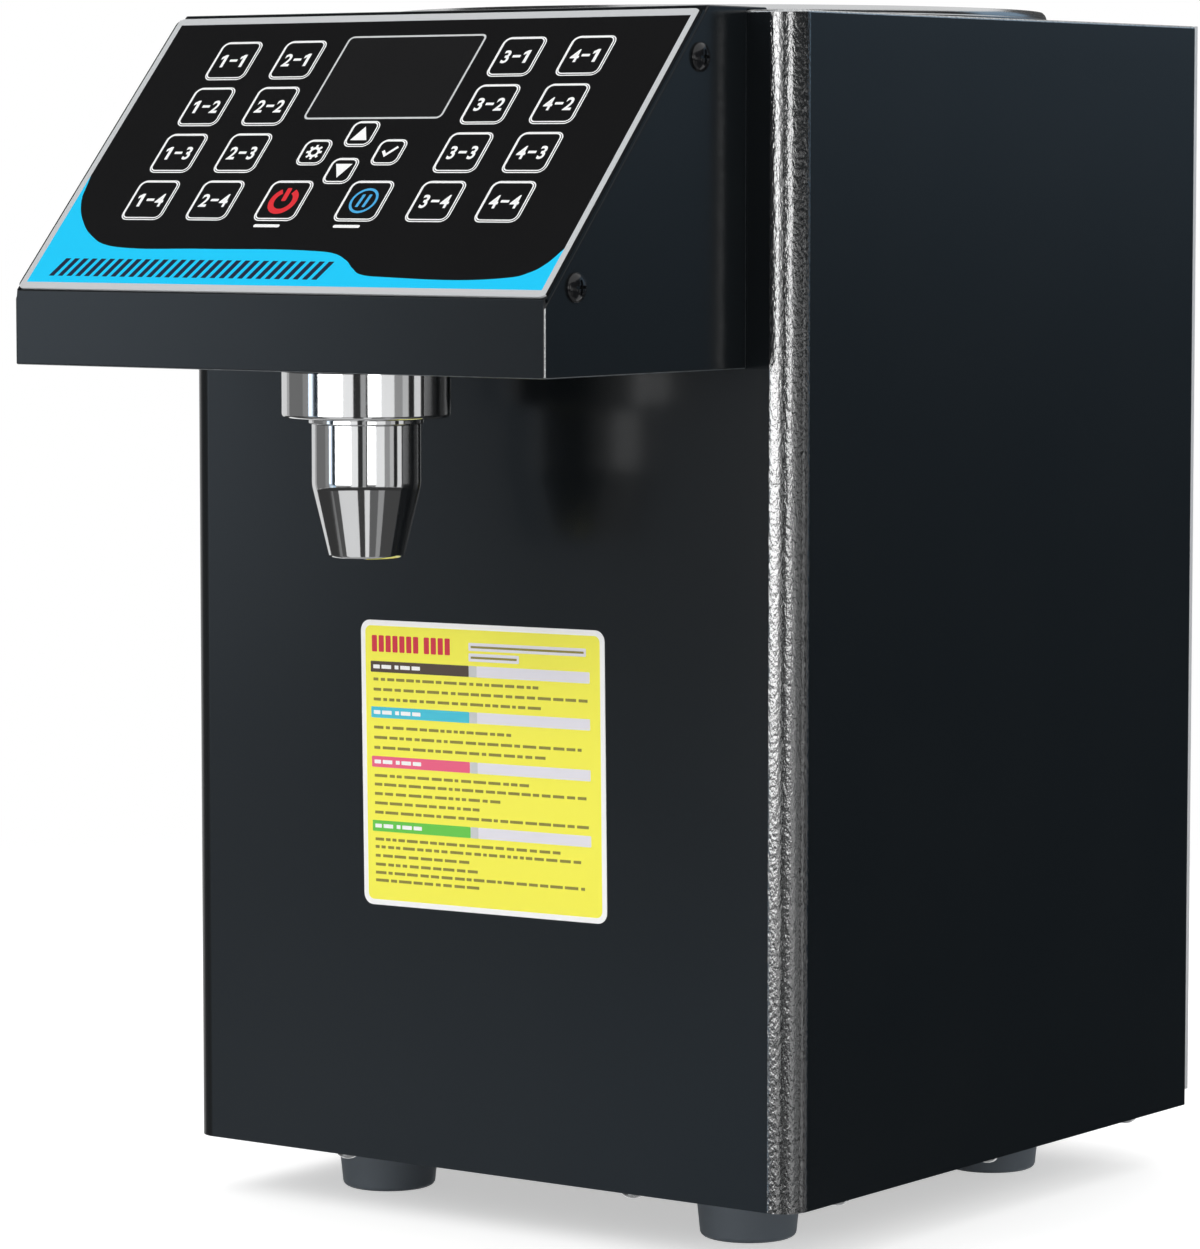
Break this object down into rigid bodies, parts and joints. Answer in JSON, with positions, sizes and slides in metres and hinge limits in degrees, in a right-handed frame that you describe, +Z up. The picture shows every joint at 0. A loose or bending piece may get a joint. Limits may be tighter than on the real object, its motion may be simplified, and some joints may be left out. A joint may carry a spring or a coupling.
{
  "type": "fructose dispenser",
  "caption": "Countertop fructose dispenser: black steel cabinet on rubber feet, overhanging head with sloping keypad and display, chromed drip nozzle, heated tank under a steel lid.",
  "frame": {"origin": "middle of the overall footprint, on the ground under the feet", "axes": "+X to the right seen from the keypad side, +Y to the back, +Z up"},
  "size_m": [0.27, 0.3938, 0.4393],
  "materials": {
    "black_coat": "fine textured powder coat, satin",
    "zinc_sheet": "galvanised",
    "bare_steel": "fine brushed",
    "overlay_film": "satin printed film",
    "smoked_window": "smoked, gloss",
    "display_block": "matt",
    "circuit_board": "solder resist",
    "printed_card": "laminated print",
    "seal_rubber": "matt",
    "chrome_plate": "mirror polished",
    "spring_steel": "bright",
    "polished_steel": "polished",
    "heater_foil": "satin",
    "silicone": "matt, milky",
    "black_plastic": "fine grained",
    "rocker_plastic": "gloss",
    "gear_steel": "ground",
    "pump_metal": "bead blasted",
    "motor_case": "satin",
    "hose": "translucent silicone",
    "supply_case": "satin",
    "foot_rubber": "matt",
    "zinc_screw": "zinc plated",
    "black_screw": "blackened"
  },
  "bodies": {
    "cabinet": {"cabinet_wrap": "black_coat", "base_plate": "zinc_sheet", "rear_panel": "bare_steel", "top_plate": "black_coat", "head_shell": "black_coat", "control_panel_plate": "zinc_sheet", "keypad_overlay": "overlay_film", "display_window": "smoked_window", "display_module": "display_block", "control_board": "circuit_board", "notice_card": "printed_card", "nozzle_gasket": "seal_rubber", "nozzle_flange": "chrome_plate", "nozzle_barrel": "chrome_plate", "nozzle_locknut": "zinc_sheet", "valve_spring": "spring_steel", "tank": "polished_steel", "heater_band": "heater_foil", "pump_housing": "pump_metal", "pump_cover": "pump_metal", "pump_bracket": "zinc_sheet", "pump_motor": "motor_case", "suction_hose": "hose", "delivery_hose": "hose", "hose_clamps": "spring_steel", "power_supply": "supply_case", "power_inlet": "black_plastic", "switch_frame": "black_plastic", "feet": "foot_rubber", "pan_head_screws": "zinc_screw", "cheek_screws": "black_screw"},
    "lid": {"lid": "polished_steel", "lid_seal": "silicone", "lid_knob": "black_plastic"},
    "poppet": {"valve_poppet": "seal_rubber"},
    "drive": {"drive_gear": "gear_steel"},
    "idler": {"idler_gear": "gear_steel"},
    "rocker": {"switch_rocker": "rocker_plastic"},
    "key_1_1": {"key_1_1": "overlay_film"},
    "key_1_2": {"key_1_2": "overlay_film"},
    "key_1_3": {"key_1_3": "overlay_film"},
    "key_1_4": {"key_1_4": "overlay_film"},
    "key_2_1": {"key_2_1": "overlay_film"},
    "key_2_2": {"key_2_2": "overlay_film"},
    "key_2_3": {"key_2_3": "overlay_film"},
    "key_2_4": {"key_2_4": "overlay_film"},
    "key_3_1": {"key_3_1": "overlay_film"},
    "key_3_2": {"key_3_2": "overlay_film"},
    "key_3_3": {"key_3_3": "overlay_film"},
    "key_3_4": {"key_3_4": "overlay_film"},
    "key_4_1": {"key_4_1": "overlay_film"},
    "key_4_2": {"key_4_2": "overlay_film"},
    "key_4_3": {"key_4_3": "overlay_film"},
    "key_4_4": {"key_4_4": "overlay_film"},
    "key_power": {"key_power": "overlay_film"},
    "key_pause": {"key_pause": "overlay_film"},
    "key_up": {"key_up": "overlay_film"},
    "key_down": {"key_down": "overlay_film"},
    "key_set": {"key_set": "overlay_film"},
    "key_save": {"key_save": "overlay_film"}
  },
  "joints": [
    {"name": "lid_lift", "type": "slide", "parent": "cabinet", "child": "lid", "axis": [0, 0, 1], "range_m": [0, 0.12]},
    {"name": "poppet_slide", "type": "slide", "parent": "cabinet", "child": "poppet", "axis": [0, 0, -1], "range_m": [0, 0.003], "stiffness_N_per_m": 300, "springref_m": -0.004, "deforming": ["valve_spring"]},
    {"name": "drive_spin", "type": "hinge", "parent": "cabinet", "child": "drive", "pos_m": [0, 0.00375, 0.084], "axis": [1, 0, 0], "continuous": true},
    {"name": "idler_spin", "type": "hinge", "parent": "cabinet", "child": "idler", "pos_m": [0, 0.00375, 0.108], "axis": [1, 0, 0], "continuous": true},
    {"name": "rocker_tilt", "type": "hinge", "parent": "cabinet", "child": "rocker", "pos_m": [0.012, 0.19085, 0.116], "axis": [1, 0, 0], "range_deg": [0, 20]},
    {"name": "key_1_1_press", "type": "slide", "parent": "cabinet", "child": "key_1_1", "axis": [0, 0.733, -0.6803], "range_m": [0, 0.0004], "stiffness_N_per_m": 1500},
    {"name": "key_1_2_press", "type": "slide", "parent": "cabinet", "child": "key_1_2", "axis": [0, 0.733, -0.6803], "range_m": [0, 0.0004], "stiffness_N_per_m": 1500},
    {"name": "key_1_3_press", "type": "slide", "parent": "cabinet", "child": "key_1_3", "axis": [0, 0.733, -0.6803], "range_m": [0, 0.0004], "stiffness_N_per_m": 1500},
    {"name": "key_1_4_press", "type": "slide", "parent": "cabinet", "child": "key_1_4", "axis": [0, 0.733, -0.6803], "range_m": [0, 0.0004], "stiffness_N_per_m": 1500},
    {"name": "key_2_1_press", "type": "slide", "parent": "cabinet", "child": "key_2_1", "axis": [0, 0.733, -0.6803], "range_m": [0, 0.0004], "stiffness_N_per_m": 1500},
    {"name": "key_2_2_press", "type": "slide", "parent": "cabinet", "child": "key_2_2", "axis": [0, 0.733, -0.6803], "range_m": [0, 0.0004], "stiffness_N_per_m": 1500},
    {"name": "key_2_3_press", "type": "slide", "parent": "cabinet", "child": "key_2_3", "axis": [0, 0.733, -0.6803], "range_m": [0, 0.0004], "stiffness_N_per_m": 1500},
    {"name": "key_2_4_press", "type": "slide", "parent": "cabinet", "child": "key_2_4", "axis": [0, 0.733, -0.6803], "range_m": [0, 0.0004], "stiffness_N_per_m": 1500},
    {"name": "key_3_1_press", "type": "slide", "parent": "cabinet", "child": "key_3_1", "axis": [0, 0.733, -0.6803], "range_m": [0, 0.0004], "stiffness_N_per_m": 1500},
    {"name": "key_3_2_press", "type": "slide", "parent": "cabinet", "child": "key_3_2", "axis": [0, 0.733, -0.6803], "range_m": [0, 0.0004], "stiffness_N_per_m": 1500},
    {"name": "key_3_3_press", "type": "slide", "parent": "cabinet", "child": "key_3_3", "axis": [0, 0.733, -0.6803], "range_m": [0, 0.0004], "stiffness_N_per_m": 1500},
    {"name": "key_3_4_press", "type": "slide", "parent": "cabinet", "child": "key_3_4", "axis": [0, 0.733, -0.6803], "range_m": [0, 0.0004], "stiffness_N_per_m": 1500},
    {"name": "key_4_1_press", "type": "slide", "parent": "cabinet", "child": "key_4_1", "axis": [0, 0.733, -0.6803], "range_m": [0, 0.0004], "stiffness_N_per_m": 1500},
    {"name": "key_4_2_press", "type": "slide", "parent": "cabinet", "child": "key_4_2", "axis": [0, 0.733, -0.6803], "range_m": [0, 0.0004], "stiffness_N_per_m": 1500},
    {"name": "key_4_3_press", "type": "slide", "parent": "cabinet", "child": "key_4_3", "axis": [0, 0.733, -0.6803], "range_m": [0, 0.0004], "stiffness_N_per_m": 1500},
    {"name": "key_4_4_press", "type": "slide", "parent": "cabinet", "child": "key_4_4", "axis": [0, 0.733, -0.6803], "range_m": [0, 0.0004], "stiffness_N_per_m": 1500},
    {"name": "key_power_press", "type": "slide", "parent": "cabinet", "child": "key_power", "axis": [0, 0.733, -0.6803], "range_m": [0, 0.0004], "stiffness_N_per_m": 1500},
    {"name": "key_pause_press", "type": "slide", "parent": "cabinet", "child": "key_pause", "axis": [0, 0.733, -0.6803], "range_m": [0, 0.0004], "stiffness_N_per_m": 1500},
    {"name": "key_up_press", "type": "slide", "parent": "cabinet", "child": "key_up", "axis": [0, 0.733, -0.6803], "range_m": [0, 0.0004], "stiffness_N_per_m": 1500},
    {"name": "key_down_press", "type": "slide", "parent": "cabinet", "child": "key_down", "axis": [0, 0.733, -0.6803], "range_m": [0, 0.0004], "stiffness_N_per_m": 1500},
    {"name": "key_set_press", "type": "slide", "parent": "cabinet", "child": "key_set", "axis": [0, 0.733, -0.6803], "range_m": [0, 0.0004], "stiffness_N_per_m": 1500},
    {"name": "key_save_press", "type": "slide", "parent": "cabinet", "child": "key_save", "axis": [0, 0.733, -0.6803], "range_m": [0, 0.0004], "stiffness_N_per_m": 1500}
  ],
  "couplings": [
    {"joint": "idler_spin", "follows": "drive_spin", "ratio": -1}
  ]
}
